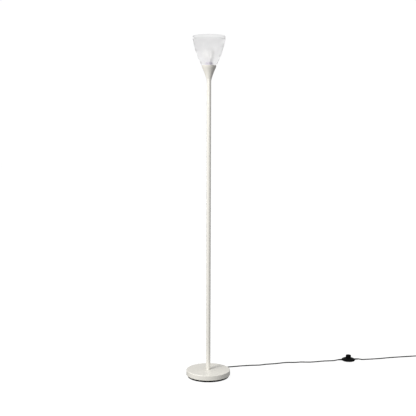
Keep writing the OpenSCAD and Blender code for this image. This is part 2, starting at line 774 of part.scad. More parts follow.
module relief_in() color("black") at_switch() rotate(180) translate([switch_r, 0, switch_cord_z])
    strain_relief(switch_relief_l, switch_relief_r, switch_relief_tip_r, switch_relief_wall,
        switch_waist_r, switch_flange_r);
module relief_out() color("black") at_switch() translate([switch_r, 0, switch_cord_z])
    strain_relief(switch_relief_l, switch_relief_r, switch_relief_tip_r, switch_relief_wall,
        switch_waist_r, switch_flange_r);

// ---- plug, with two round pins ----
module rounded_slab(w, t, h, r) linear_extrude(height = h) hull()
    for (x = [-1, 1], y = [-1, 1]) translate([x * (w / 2 - r), y * (t / 2 - r)]) circle(r = r, $fn = 32);

module plug_body() color("black") translate([plug_x, plug_face_y, plug_z]) rotate([-90, 0, 0]) difference() {
    union() {
        hull() {
            rounded_slab(plug_w - 1, plug_t - 1, 1, plug_corner_r);
            translate([0, 0, 3]) rounded_slab(plug_w, plug_t, 11, plug_corner_r + 0.5);
            translate([0, 0, plug_l - 2]) rounded_slab(plug_back_w, plug_back_t, 2, plug_corner_r);
        }
        for (s = [-1, 1]) translate([s * pin_pitch / 2, 0, -sleeve_l])
            cylinder(h = sleeve_l + 1, r = sleeve_r, $fn = fine);
    }
    for (s = [-1, 1]) translate([s * pin_pitch / 2, 0, -sleeve_l - past])
        cylinder(h = sleeve_l + 9 + past, r = sleeve_r - sleeve_t, $fn = fine);
    translate([0, 0, plug_l - plug_bore_l])
        cylinder(h = plug_bore_l + past, r = cord_hole_r, $fn = fine);
    translate([0, 0, plug_l - plug_collar_l])
        cylinder(h = plug_collar_l + past, r = plug_collar_r, $fn = fine);
}

module plug_pins() color("silver") for (s = [-1, 1])
    translate([plug_x + s * pin_pitch / 2, plug_face_y, plug_z]) rotate([90, 0, 0]) lathe(concat(
        [
            [0, -pin_root], [sleeve_r - 0.3, -pin_root], [sleeve_r - 0.3, sleeve_l],
            [pin_d / 2, sleeve_l + 0.05]
        ],
        arc(pin_d / 2 - pin_tip_r, pin_l - pin_tip_r, pin_tip_r, 0, 90, 4),
        [[0, pin_l]]
    ));

module plug_relief() color("black") translate([plug_x, plug_back_y, plug_z]) rotate([-90, 0, 0])
    lathe([
        [cord_hole_r, -plug_collar_l + gap], [plug_collar_r - 0.1, -plug_collar_l + gap],
        [plug_collar_r - 0.1, 0], [5.4, 0], [5.4, 2],
        [3.8, plug_relief_l - 1], [3.5, plug_relief_l], [cord_hole_r, plug_relief_l]
    ]);

// ---- cord ----
join = polar(coil_turn_r, coil_angle_in, coil_low_z) + [coil_x, coil_y, 0];

module cord_to_switch() color("black") bar_along(concat(
    [for (r = [tray_r, tray_r + gland_l * 0.5]) polar(r, exit_angle, exit_z)],
    through(concat(
        [polar(tray_r + gland_l, exit_angle, exit_z - 0.8)],
        [for (p = route_to_switch) on_floor(p)],
        [switch_point(-switch_r - switch_relief_l, switch_cord_z)]
    ), 2),
    [switch_point(-sheath_x, switch_cord_z)]
), cord_r, cord_sides);

module cord_to_coil() color("black") bar_along(concat(
    [switch_point(sheath_x, switch_cord_z)],
    through(concat(
        [switch_point(switch_r + switch_relief_l, switch_cord_z)],
        [for (p = route_to_coil) on_floor(p)],
        [join - join_back * [sin(coil_angle_in), -cos(coil_angle_in), 0]]
    ), 1)
), cord_r, cord_sides);

module cord_coil() color("black") translate([coil_x, coil_y, 0]) lathe(concat(
    arc(coil_r + cord_r, coil_low_z, cord_r, -90, 0, 4),
    arc(coil_r + cord_r, coil_high_z, cord_r, 0, 90, 4),
    arc(coil_r - cord_r, coil_high_z, cord_r, 90, 180, 4),
    arc(coil_r - cord_r, coil_low_z, cord_r, 180, 270, 4)
));

module cord_tail() color("black") bar_along([
    [plug_x, coil_y - 6, coil_high_z - 1], [plug_x, coil_y - 14, coil_high_z - 2.2],
    [plug_x, plug_back_y + plug_relief_l, plug_z], [plug_x, plug_back_y - 10, plug_z]
], cord_r, cord_sides);

module cord_tie() color("dimgray") translate([coil_x, coil_y, 0]) rotate(tie_angle)
    translate([coil_r, 0, coil_lift + 2 * cord_r]) rotate([90, 0, 0])
        linear_extrude(height = tie_w, center = true) difference() {
            square([tie_hole_w + 2 * tie_t, tie_hole_h + 2 * tie_t], center = true);
            square([tie_hole_w, tie_hole_h], center = true);
        }

base_cover();
base_weight();
base_tray();
base_pads();
tray_screws();
clamp_plate();
base_nipple();
base_nut();
cord_gland();
pole_lower();
pole_middle();
pole_upper();
foot_insert();
top_insert();
lower_socket();
lower_stud();
upper_socket();
upper_stud();
shade_cup();
head_nipple();
cup_washer();
cup_nut();
holder_cap();
holder_body();
holder_insert();
holder_sleeve();
centre_contact();
side_contact();
terminal_screws();
shade_ring();
shade();
bulb_glass();
bulb_cap();
bulb_insulator();
bulb_contact();
bulb_stem();
bulb_filament();
inner_flex();
holder_cores();
switch_base();
switch_cover();
switch_button();
switch_plunger();
switch_spring();
switch_block();
switch_terminals();
switch_screws();
switch_feet();
switch_cores();
relief_in();
relief_out();
plug_body();
plug_pins();
plug_relief();
cord_to_switch();
cord_to_coil();
cord_coil();
cord_tail();
cord_tie();
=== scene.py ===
import json
import math

import bmesh
import bpy
from mathutils import Matrix, Vector


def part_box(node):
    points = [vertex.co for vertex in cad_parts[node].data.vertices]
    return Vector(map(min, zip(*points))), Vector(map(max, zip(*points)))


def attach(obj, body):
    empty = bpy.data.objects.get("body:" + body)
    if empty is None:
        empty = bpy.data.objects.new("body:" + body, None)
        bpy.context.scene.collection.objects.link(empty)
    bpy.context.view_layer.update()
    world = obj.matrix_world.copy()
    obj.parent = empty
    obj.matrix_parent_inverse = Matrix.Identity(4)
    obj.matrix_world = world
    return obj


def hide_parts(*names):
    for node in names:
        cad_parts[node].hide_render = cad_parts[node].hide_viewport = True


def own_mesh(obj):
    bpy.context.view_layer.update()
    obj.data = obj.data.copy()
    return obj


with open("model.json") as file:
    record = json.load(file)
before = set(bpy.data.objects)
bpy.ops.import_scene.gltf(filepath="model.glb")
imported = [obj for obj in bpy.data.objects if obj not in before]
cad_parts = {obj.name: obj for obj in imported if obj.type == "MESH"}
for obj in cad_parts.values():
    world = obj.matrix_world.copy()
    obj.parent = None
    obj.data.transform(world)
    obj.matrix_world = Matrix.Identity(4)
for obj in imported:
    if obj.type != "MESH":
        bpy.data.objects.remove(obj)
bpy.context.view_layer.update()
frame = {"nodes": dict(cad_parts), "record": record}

MM = 0.001
LAMP = "lamp"
BUTTON = "button"


# ---------------------------------------------------------------- outlines and meshes

def arc(x, z, radius, start, end, steps):
    """Points on an arc in an outline, with its angles in degrees."""
    angles = [math.radians(start + (end - start) * i / steps) for i in range(steps + 1)]
    return [(x + radius * math.cos(a), z + radius * math.sin(a)) for a in angles]


def bend(a, b, c, steps):
    """Points on a quadratic curve from a to c, pulled towards b."""
    shares = [i / steps for i in range(steps + 1)]
    return [tuple(p * (1 - t) ** 2 + q * 2 * t * (1 - t) + r * t ** 2 for p, q, r in zip(a, b, c))
            for t in shares]


def through(points, steps):
    """A smooth curve through points, with steps pieces between each two."""
    made = []
    last = len(points) - 1
    for i in range(last):
        a, b = points[max(i - 1, 0)], points[i]
        c, d = points[i + 1], points[min(i + 2, last)]
        for j in range(steps):
            t = j / steps
            made.append(0.5 * (2 * b + (c - a) * t + (2 * a - 5 * b + 4 * c - d) * t ** 2
                               + (3 * b - a - 3 * c + d) * t ** 3))
    return made + [points[last]]


def object_from(name, verts, faces, sharp=40):
    """A mesh object with smooth shading, and sharp edges past an angle in degrees."""
    mesh = bpy.data.meshes.new(name)
    mesh.from_pydata([tuple(v) for v in verts], [], faces)
    mesh.validate()
    made = bmesh.new()
    made.from_mesh(mesh)
    bmesh.ops.remove_doubles(made, verts=made.verts, dist=1e-7)
    bmesh.ops.recalc_face_normals(made, faces=made.faces)
    made.to_mesh(mesh)
    made.free()
    mesh.shade_smooth()
    mesh.set_sharp_from_angle(angle=math.radians(sharp))
    obj = bpy.data.objects.new(name, mesh)
    bpy.context.scene.collection.objects.link(obj)
    return obj


def turned(outline, steps, closed=True, place=Matrix.Identity(4), wave=None):
    """Vertices and faces of an outline of (radius, height) points turned round the Z axis.
    wave(angle, radius, height) may return a changed radius and height."""
    verts = []
    for s in range(steps):
        angle = 2 * math.pi * s / steps
        for radius, height in outline:
            r, h = wave(angle, radius, height) if wave else (radius, height)
            verts.append(place @ Vector((r * math.cos(angle), r * math.sin(angle), h)))
    n = len(outline)
    faces = []
    for s in range(steps):
        for k in range(n if closed else n - 1):
            a, b = s * n + k, s * n + (k + 1) % n
            c, d = (s + 1) % steps * n + (k + 1) % n, (s + 1) % steps * n + k
            faces.append((a, b, c, d))
    return verts, faces


def lathe(name, outline, steps=128, closed=True, place=Matrix.Identity(4), wave=None, sharp=40):
    """A turned piece. Its outline is closed, or runs from the axis to the axis."""
    verts, faces = turned(outline, steps, closed, place, wave)
    return object_from(name, verts, faces, sharp)


def joined(name, parts, sharp=40):
    """One object from several (vertices, faces) pairs."""
    verts, faces = [], []
    for part_verts, part_faces in parts:
        start = len(verts)
        verts += part_verts
        faces += [tuple(i + start for i in f) for f in part_faces]
    return object_from(name, verts, faces, sharp)


def tube_curve(name, points, radius):
    """A round bar along points, as a curve with closed ends."""
    data = bpy.data.curves.new(name, "CURVE")
    data.dimensions = "3D"
    data.bevel_depth = radius
    data.bevel_resolution = 5
    data.use_fill_caps = True
    spline = data.splines.new("POLY")
    spline.points.add(len(points) - 1)
    for point, place in zip(spline.points, points):
        point.co = (*place, 1)
    spline.use_smooth = True
    obj = bpy.data.objects.new(name, data)
    bpy.context.scene.collection.objects.link(obj)
    return obj


def put(obj, body, slot, *nodes):
    """Gives a piece its body, its material and slot, and the CAD nodes that it stands for."""
    obj.data.materials.clear()
    obj.data.materials.append(MATERIALS[slot])
    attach(obj, body)
    if nodes:
        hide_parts(*nodes)
    return obj


# ---------------------------------------------------------------- materials

class Nodes:
    """A material's node tree, with short calls for the nodes that the finishes use."""

    def __init__(self, name):
        self.material = bpy.data.materials.new(name)
        self.material.use_nodes = True
        self.tree = self.material.node_tree
        self.shader = self.tree.nodes["Principled BSDF"]
        self.coord = self.tree.nodes.new("ShaderNodeTexCoord")

    def link(self, a, b):
        self.tree.links.new(a, b)

    def noise(self, scale, detail=3, stretch=(1, 1, 1)):
        """Noise in the piece's own coordinates, scale features to a metre."""
        mapping = self.tree.nodes.new("ShaderNodeMapping")
        mapping.inputs["Scale"].default_value = stretch
        node = self.tree.nodes.new("ShaderNodeTexNoise")
        node.inputs["Scale"].default_value = scale
        node.inputs["Detail"].default_value = detail
        self.link(self.coord.outputs["Object"], mapping.inputs["Vector"])
        self.link(mapping.outputs["Vector"], node.inputs["Vector"])
        return node.outputs["Fac"]

    def between(self, factor, low, high, start=0.3, end=0.7):
        """A ramp from one colour or value to another."""
        node = self.tree.nodes.new("ShaderNodeValToRGB")
        for element, place, value in zip(node.color_ramp.elements, (start, end), (low, high)):
            element.position = place
            element.color = (*value, 1) if isinstance(value, tuple) else (value, value, value, 1)
        self.link(factor, node.inputs["Fac"])
        return node.outputs["Color"]

    def bump(self, height, strength, distance, under=None):
        node = self.tree.nodes.new("ShaderNodeBump")
        node.inputs["Strength"].default_value = strength
        node.inputs["Distance"].default_value = distance
        self.link(height, node.inputs["Height"])
        if under:
            self.link(under, node.inputs["Normal"])
        self.link(node.outputs["Normal"], self.shader.inputs["Normal"])
        return node.outputs["Normal"]

    def set(self, **values):
        for name, value in values.items():
            self.shader.inputs[name.replace("_", " ")].default_value = value


def shade_of(colour, factor):
    return tuple(min(1.0, c * factor) for c in colour)


def finish(name, colour, rough, spread=0.04, mottle=60, grain=1500, depth=0.1, lift=0.05 * MM,
           stretch=(1, 1, 1), **values):
    """A moulded, cast, plated or painted surface: a little colour and gloss variation
    over the piece, and a fine grain in its surface."""
    n = Nodes(name)
    broad = n.noise(mottle, stretch=stretch)
    fine = n.noise(grain, 2, stretch)
    n.link(n.between(broad, shade_of(colour, 1 - spread), shade_of(colour, 1 + spread)),
           n.shader.inputs["Base Color"])
    n.link(n.between(broad, max(0.02, rough - 0.06), min(1.0, rough + 0.06)),
           n.shader.inputs["Roughness"])
    n.bump(fine, depth, lift)
    n.set(**values)
    return n.material


def powder_coat(name):
    """Satin powder coat: a fine orange peel over a slow change in gloss."""
    n = Nodes(name)
    colour = (0.74, 0.72, 0.665)
    slow = n.noise(9, 4)
    peel = n.noise(900, 1)
    dust = n.noise(4200, 2)
    n.link(n.between(slow, shade_of(colour, 0.975), shade_of(colour, 1.015)),
           n.shader.inputs["Base Color"])
    n.link(n.between(slow, 0.34, 0.42), n.shader.inputs["Roughness"])
    under = n.bump(peel, 0.10, 0.04 * MM)
    n.bump(dust, 0.06, 0.02 * MM, under)
    n.set(Specular_IOR_Level=0.5, Coat_Weight=0.12, Coat_Roughness=0.25)
    return n.material


def frosted_glass(name):
    """Satin frosted glass: milky, with a soft skin and faint clouding. Painted shade darkens it
    step by step towards the rim, with painted dark lines at the groove under the band and at the rim's
    edge."""
    n = Nodes(name)
    cloud = n.noise(14, 3)
    etch = n.noise(2600, 2)
    # the painted shade runs down from the rim over reach; the painted dark lines at the groove and the
    # rim's edge take the lowest grey
    top, reach, painted_line_grey = 1750 * MM, 110 * MM, 0.86
    height = n.tree.nodes.new("ShaderNodeSeparateXYZ")
    n.link(n.coord.outputs["Object"], height.inputs["Vector"])
    scale = n.tree.nodes.new("ShaderNodeMapRange")
    scale.inputs["From Min"].default_value = top - reach
    scale.inputs["From Max"].default_value = top
    n.link(height.outputs["Z"], scale.inputs["Value"])
    painted_shade_ramp = n.tree.nodes.new("ShaderNodeValToRGB")
    stops = painted_shade_ramp.color_ramp.elements
    # millimetres below the rim, and how light the glass is there: painted shade darkening towards the
    # rim, and painted dark lines at the groove and the rim's edge
    grey = [(110, 1.0), (85, 0.975), (50, 0.945), (20, 0.935), (18, painted_line_grey), (15, painted_line_grey),
            (13, 0.925), (4, 0.925), (2.5, painted_line_grey)]
    for i, (below, value) in enumerate(grey):
        place = 1 - below * MM / reach
        stop = stops[i] if i < 2 else stops.new(place)
        stop.position = place
        stop.color = (value, value, value, 1)
    n.link(scale.outputs["Result"], painted_shade_ramp.inputs["Fac"])
    # the painted shade is multiplied into the clouded glass colour
    mix = n.tree.nodes.new("ShaderNodeMix")
    mix.data_type = "RGBA"
    mix.blend_type = "MULTIPLY"
    mix.inputs["Factor"].default_value = 1
    colour_a, colour_b, colour_out = 6, 7, 2
    n.link(n.between(cloud, (0.965, 0.963, 0.963), (0.985, 0.983, 0.983)), mix.inputs[colour_a])
    n.link(painted_shade_ramp.outputs["Color"], mix.inputs[colour_b])
    n.link(mix.outputs[colour_out], n.shader.inputs["Base Color"])
    n.link(n.between(cloud, 0.42, 0.48), n.shader.inputs["Roughness"])
    n.bump(etch, 0.12, 0.03 * MM)
    n.set(Transmission_Weight=0.9, IOR=1.1, Specular_IOR_Level=0.3)
    return n.material


def concrete(name):
    """Cast concrete with fine pores."""
    n = Nodes(name)
    patches = n.noise(35, 5)
    pores = n.noise(420, 3)
    n.link(n.between(patches, (0.40, 0.39, 0.37), (0.55, 0.54, 0.51)), n.shader.inputs["Base Color"])
    n.link(n.between(pores, 0.95, 0.80), n.shader.inputs["Roughness"])
    n.bump(n.between(pores, 0.0, 1.0, 0.32, 0.46), 0.6, 0.4 * MM)
    return n.material


def woven(name, colour, threads=900):
    """Felt or woven tape: crossed threads with a soft sheen."""
    n = Nodes(name)
    across = n.noise(threads, 2, (1, 6, 1))
    along = n.noise(threads, 2, (6, 1, 6))
    n.link(n.between(across, shade_of(colour, 0.6), shade_of(colour, 1.5)), n.shader.inputs["Base Color"])
    under = n.bump(across, 0.5, 0.2 * MM)
    n.bump(along, 0.5, 0.2 * MM, under)
    n.set(Roughness=0.95, Sheen_Weight=0.25, Sheen_Roughness=0.5)
    return n.material


def make_materials():
    """One material for each slot of the record."""
    black, deep_black = (0.012, 0.012, 0.013), (0.004, 0.004, 0.004)
    return {
        "cream_paint": powder_coat("cream_paint"),
        "frosted_glass": frosted_glass("frosted_glass"),
        "concrete": concrete("concrete"),
        "felt": woven("felt", (0.05, 0.05, 0.052)),
        "tie_fabric": woven("tie_fabric", (0.02, 0.02, 0.022), 1400),
        "tray_plastic": finish("tray_plastic", deep_black, 0.5, 0.2, 40, 1800, 0.35, 0.08 * MM,
                               Specular_IOR_Level=0.15),
        "zinc_steel": finish("zinc_steel", (0.60, 0.60, 0.62), 0.34, 0.06, 120, 2500, 0.15, Metallic=1.0),
        "grey_plastic": finish("grey_plastic", (0.48, 0.46, 0.52), 0.45, 0.08, 50, 1600, 0.2),
        "porcelain": finish("porcelain", (0.82, 0.81, 0.77), 0.16, 0.02, 40, 500, 0.05, Coat_Weight=0.6),
        "brass": finish("brass", (0.72, 0.52, 0.22), 0.28, 0.08, 150, 2200, 0.12, Metallic=1.0),
        "opal_glass": finish("opal_glass", (0.955, 0.955, 0.95), 0.2, 0.01, 20, 300, 0.03,
                             Transmission_Weight=0.75, IOR=1.1),
        "clear_glass": finish("clear_glass", (0.95, 0.97, 0.96), 0.08, 0.01, 30, 400, 0.02,
                              Transmission_Weight=1.0, IOR=1.5),
        "nickel": finish("nickel", (0.66, 0.64, 0.60), 0.22, 0.05, 150, 2600, 0.08, Metallic=1.0),
        "black_glass": finish("black_glass", (0.01, 0.01, 0.012), 0.08, 0.1, 60, 500, 0.05),
        "core_plastic": finish("core_plastic", (0.10, 0.04, 0.02), 0.4, 0.1, 80, 1500, 0.1),
        "cord_plastic": finish("cord_plastic", black, 0.45, 0.25, 25, 900, 0.18, 0.06 * MM,
                               Specular_IOR_Level=0.25),
        "black_rubber": finish("black_rubber", (0.016, 0.016, 0.017), 0.6, 0.15, 60, 1500, 0.3),
        "black_gloss": finish("black_gloss", deep_black, 0.28, 0.2, 30, 700, 0.05, 0.04 * MM,
                              Specular_IOR_Level=0.18),
        "white_plastic": finish("white_plastic", (0.78, 0.78, 0.75), 0.4, 0.03, 60, 1500, 0.1),
    }


MATERIALS = make_materials()


# ---------------------------------------------------------------- camera

# metres and degrees; the camera looks along +Y, a little down
CAMERA_DISTANCE = 3.9345
CAMERA_HEIGHT = 1.2369
CAMERA_SIDE = -0.0033
CAMERA_PITCH = 5.145
CAMERA_ROLL = 0.15
LENS = 66.69


def make_camera():
    data = bpy.data.cameras.new("camera")
    data.lens = LENS
    data.sensor_width = 36
    data.clip_end = 60
    camera = bpy.data.objects.new("camera", data)
    place = Matrix.Translation((CAMERA_SIDE, -CAMERA_DISTANCE, CAMERA_HEIGHT))
    tilt = Matrix.Rotation(math.radians(90 - CAMERA_PITCH), 4, "X")
    roll = Matrix.Rotation(math.radians(CAMERA_ROLL), 4, "Z")
    camera.matrix_world = place @ tilt @ roll
    bpy.context.scene.collection.objects.link(camera)
    bpy.context.scene.camera = camera


make_camera()


# ---------------------------------------------------------------- cords

CORD_R = 3 * MM
CORD_Z = CORD_R + 0.1 * MM
EXIT_Z = 6.4 * MM
EXIT_ANGLE = math.radians(60)
TRAY_R = 107.5 * MM
GLAND_L = 29.5 * MM

SWITCH_PLACE = Matrix.Translation((785 * MM, 290 * MM, 0)) @ Matrix.Rotation(math.radians(8), 4, "Z")
SWITCH_R = 37 * MM
SWITCH_CORD_Z = 7.5 * MM
SWITCH_RELIEF_L = 20 * MM
SHEATH_X = 30 * MM

COIL = Vector((1.248, 0.352, 0))
COIL_R = 33 * MM
COIL_LOW_Z = 4 * MM
COIL_HIGH_Z = 10 * MM
COIL_ANGLE_IN = 102
COIL_TURNS = 3

PLUG_X = 1.284
PLUG_BACK_Y = 0.304
PLUG_L = 36 * MM
PLUG_Z = 6.8 * MM
PLUG_RELIEF_L = 26 * MM

# The route on the floor, in millimetres: base to foot switch, then foot switch to coil
ROUTE_TO_SWITCH = [
    (77, 132), (93, 146), (116, 155), (145, 163), (174, 172), (201, 178), (229, 184),
    (256, 187), (284, 191), (303, 199), (320, 206), (342, 211), (368, 217), (397, 228),
    (424, 238), (448, 242), (470, 241), (492, 245), (514, 250), (540, 249), (564, 249),
    (588, 253), (612, 260), (640, 269), (672, 274), (700, 278),
]
ROUTE_TO_COIL = [
    (868, 302), (892, 307), (918, 311), (945, 317), (970, 323), (998, 332), (1028, 341),
    (1060, 349), (1092, 356), (1124, 363), (1156, 370), (1188, 376.5), (1214, 382),
]


def polar(radius, angle, z):
    return Vector((radius * math.cos(angle), radius * math.sin(angle), z))


def on_floor(route):
    return [Vector((x * MM, y * MM, CORD_Z)) for x, y in route]


def in_switch(x):
    return SWITCH_PLACE @ Vector((x, 0, SWITCH_CORD_Z))


def eased(start, end, share):
    """From start to end with a smooth take-off and landing."""
    s = min(1.0, max(0.0, share))
    return start + (end - start) * s * s * (3 - 2 * s)


def coil_turns():
    """The stored turns: outer and low, inner and low, inner and high, then outer and high."""
    outer, inner = COIL_R + CORD_R, COIL_R - CORD_R
    stages = [((outer, COIL_LOW_Z), (inner, COIL_LOW_Z)), ((inner, COIL_LOW_Z), (inner, COIL_HIGH_Z)),
              ((inner, COIL_HIGH_Z), (outer, COIL_HIGH_Z)), ((outer, COIL_HIGH_Z), (outer, COIL_HIGH_Z))]
    per_turn = 60
    crossing = 0.22
    total = int(per_turn * (COIL_TURNS + COIL_ANGLE_IN / 360))
    made = []
    for i in range(total + 1):
        turn, share = i // per_turn, (i % per_turn) / per_turn
        (r0, z0), (r1, z1) = stages[turn]
        step = (share - (1 - crossing)) / crossing
        angle = math.radians(COIL_ANGLE_IN - 360 * i / per_turn)
        made.append(COIL + polar(eased(r0, r1, step), angle, eased(z0, z1, step)))
    return made


def resting(points):
    """The same points, with none lower than a cord lies on the floor."""
    return [Vector((p.x, p.y, max(p.z, CORD_Z))) for p in points]


def make_cords():
    """Base to foot switch, and foot switch to plug, with the stored turns."""
    steps = 8
    start = [polar(TRAY_R, EXIT_ANGLE, EXIT_Z), polar(TRAY_R + GLAND_L / 2, EXIT_ANGLE, EXIT_Z)]
    to_switch = through(
        start + [polar(TRAY_R + GLAND_L, EXIT_ANGLE, EXIT_Z - 0.8 * MM)] + on_floor(ROUTE_TO_SWITCH)
        + [in_switch(-SWITCH_R - SWITCH_RELIEF_L), in_switch(-SHEATH_X)], steps)
    turns = coil_turns()
    to_coil = through(
        [in_switch(SHEATH_X), in_switch(SWITCH_R + SWITCH_RELIEF_L)] + on_floor(ROUTE_TO_COIL)
        + [turns[0]], steps)
    tail = through([
        turns[-1], Vector((PLUG_X, COIL.y - 9 * MM, COIL_HIGH_Z - 0.8 * MM)),
        Vector((PLUG_X, PLUG_BACK_Y + PLUG_RELIEF_L, PLUG_Z)),
        Vector((PLUG_X, PLUG_BACK_Y - 10 * MM, PLUG_Z))
    ], steps)
    first = tube_curve("cord_to_switch_visual", resting(to_switch), CORD_R)
    second = tube_curve("cord_to_plug_visual", resting(to_coil + turns[1:] + tail[1:]), CORD_R)
    return first, second


cord_a, cord_b = make_cords()
put(cord_a, LAMP, "cord_plastic", "cord_to_switch")
put(cord_b, LAMP, "cord_plastic", "cord_to_coil", "cord_coil", "cord_tail")


# ---------------------------------------------------------------- light and floor

def area_light(name, place, target, size, power, colour):
    data = bpy.data.lights.new(name, "AREA")
    data.shape = "RECTANGLE"
    data.size, data.size_y = size
    data.energy = power
    data.color = colour
    lamp = bpy.data.objects.new(name, data)
    lamp.location = place
    lamp.rotation_mode = "QUATERNION"
    lamp.rotation_quaternion = (Vector(target) - Vector(place)).to_track_quat("-Z", "Y")
    bpy.context.scene.collection.objects.link(lamp)
    return lamp


def flag_from(lamp, obj):
    """Keeps one light off one piece, as a flag does in a studio. The light still reaches what is
    inside the piece, which lets it through."""
    flagged = bpy.data.collections.new(f"{lamp.name}_flag")
    flagged.objects.link(obj)
    flagged.collection_objects[0].light_linking.link_state = "EXCLUDE"
    lamp.light_linking.receiver_collection = flagged
    lamp.light_linking.blocker_collection = flagged


def make_world(low, high, seen_white, glint_share):
    """White where the camera looks past the floor, also through glass. The lamp itself is lit
    by a dimmer even light, one strength from below the horizon and one from above it, and its
    reflections see a share of that."""
    world = bpy.data.worlds.new("studio")
    world.use_nodes = True
    tree = world.node_tree
    coord = tree.nodes.new("ShaderNodeTexCoord")
    split = tree.nodes.new("ShaderNodeSeparateXYZ")
    ramp = tree.nodes.new("ShaderNodeValToRGB")
    spread = tree.nodes.new("ShaderNodeMapRange")
    spread.inputs["From Min"].default_value = -1
    for element, place, value in zip(ramp.color_ramp.elements, (0.42, 0.58), (low, high)):
        element.position = place
        element.color = (0.98 * value, 0.985 * value, value, 1)
    plain = tree.nodes["Background"]
    seen = tree.nodes.new("ShaderNodeBackground")
    seen.inputs["Strength"].default_value = seen_white
    seen.inputs["Color"].default_value = (1, 1, 1, 1)
    path = tree.nodes.new("ShaderNodeLightPath")
    either = tree.nodes.new("ShaderNodeMath")
    either.operation = "MAXIMUM"
    glints = tree.nodes.new("ShaderNodeMath")
    glints.operation = "MULTIPLY_ADD"
    glints.inputs[1].default_value = glint_share - 1
    glints.inputs[2].default_value = 1
    mix = tree.nodes.new("ShaderNodeMixShader")
    links = tree.links
    links.new(coord.outputs["Generated"], split.inputs["Vector"])
    links.new(split.outputs["Z"], spread.inputs["Value"])
    links.new(spread.outputs["Result"], ramp.inputs["Fac"])
    links.new(ramp.outputs["Color"], plain.inputs["Color"])
    links.new(path.outputs["Is Glossy Ray"], glints.inputs[0])
    links.new(glints.outputs["Value"], plain.inputs["Strength"])
    links.new(path.outputs["Is Camera Ray"], either.inputs[0])
    links.new(path.outputs["Is Transmission Ray"], either.inputs[1])
    links.new(either.outputs["Value"], mix.inputs["Fac"])
    links.new(plain.outputs["Background"], mix.inputs[1])
    links.new(seen.outputs["Background"], mix.inputs[2])
    links.new(mix.outputs["Shader"], tree.nodes["World Output"].inputs["Surface"])
    bpy.context.scene.world = world


def make_floor():
    """A pale floor that glows a little, so that only a faint contact shadow shows on it."""
    size = 30
    corners = [(-size, -size, 0), (size, -size, 0), (size, size, 0), (-size, size, 0)]
    floor = object_from("floor", corners, [(0, 1, 2, 3)])
    n = Nodes("floor_white")
    n.set(Base_Color=(0.12, 0.12, 0.12, 1), Roughness=0.95, Specular_IOR_Level=0.0,
          Emission_Color=(1, 1, 1, 1), Emission_Strength=0.93)
    floor.data.materials.append(n.material)
    floor.visible_diffuse = False
    floor.visible_glossy = False


make_world(low=0.22, high=0.76, seen_white=1.02, glint_share=0.2)
make_floor()
key = area_light("key", place=(-2.5, -2.5, 2.5), target=(0, 0, 0.8), size=(1.4, 2.2), power=146,
                 colour=(1.0, 0.99, 0.97))
bpy.context.scene.view_settings.view_transform = "Standard"


# ---------------------------------------------------------------- cup, shade and bulb

def make_cup():
    """The spun metal cup: a small bead at its foot, a hollow cone and a steeper collar."""
    low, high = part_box("shade_cup")
    bottom, top, rim = low.z, high.z, high.x
    wall, foot_r, floor_t, hole = 1 * MM, 13.1 * MM, 2 * MM, 5.1 * MM

    def side(inward):
        foot = bend((foot_r - 0.5 * MM, bottom + 1.6 * MM), (foot_r + 0.1 * MM, bottom + 3.4 * MM),
                    (foot_r - 0.6 * MM, bottom + 6 * MM), 6)
        cone = bend((foot_r + 0.2 * MM, bottom + 8 * MM), (rim - 13.5 * MM, top - 31 * MM),
                    (rim - 3.6 * MM, top - 12 * MM), 14)
        collar = bend((rim - 3.1 * MM, top - 10.6 * MM), (rim - 0.6 * MM, top - 4 * MM),
                      (rim, top - 0.6 * MM), 8)
        return [(r - inward, z) for r, z in foot + cone + collar]

    lip = arc(rim - wall / 2, top - wall / 2, wall / 2, 15, 165, 6)
    outline = ([(hole, bottom), (foot_r - 1.8 * MM, bottom)]
               + arc(foot_r - 1.8 * MM, bottom + 1.3 * MM, 1.3 * MM, -80, -10, 5)
               + side(0) + lip + list(reversed(side(wall)))
               + [(foot_r - 1.6 * MM, bottom + floor_t), (hole, bottom + floor_t)])
    return lathe("shade_cup_visual", outline, 160)


def make_shade():
    """The bowl in one wall: a flat floor round the lampholder, the long curve of the side,
    and above a shallow groove the straight band up to a rounded rim."""
    low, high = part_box("shade")
    cup_top, cup_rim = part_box("shade_cup")[1].z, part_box("shade_cup")[1].x
    bottom, top, rim = low.z, high.z, high.x
    hole, flat_r = 20.2 * MM, 28.8 * MM
    glass, band, bead = 3.2 * MM, 17 * MM, 1.4 * MM
    neck = cup_rim - 1.4 * MM

    def bowl(inward, upper):
        return bend((neck - inward, cup_top - 0.4 * MM), (rim - 14 * MM - inward, cup_top + 58 * MM),
                    (rim - 1.6 * MM - inward, upper), 40)

    foot = bend((neck - 6.2 * MM, bottom + 0.2 * MM), (neck - 2 * MM, bottom + 1.6 * MM),
                (neck - 0.8 * MM, cup_top - 2 * MM), 6)
    groove = [(rim - 2.7 * MM, top - band + 0.5 * MM), (rim - 2.7 * MM, top - band + 1.9 * MM),
              (rim - 1.0 * MM, top - band + 2.8 * MM)]
    edge = arc(rim - bead, top - bead, bead, 10, 170, 10)
    outline = ([(hole, bottom + 0.3 * MM), (hole + 0.3 * MM, bottom), (neck - 8 * MM, bottom)]
               + foot + bowl(0, top - band) + groove + [(rim - 0.2 * MM, top - 4 * MM)] + edge
               + [(rim - 1.6 * MM - glass, top - band)] + list(reversed(bowl(glass, top - band - 1 * MM)))
               + [(neck - 4.6 * MM, bottom + glass + 0.8 * MM), (flat_r, bottom + glass),
                  (hole, bottom + glass)])
    return lathe("shade_visual", outline, 192)


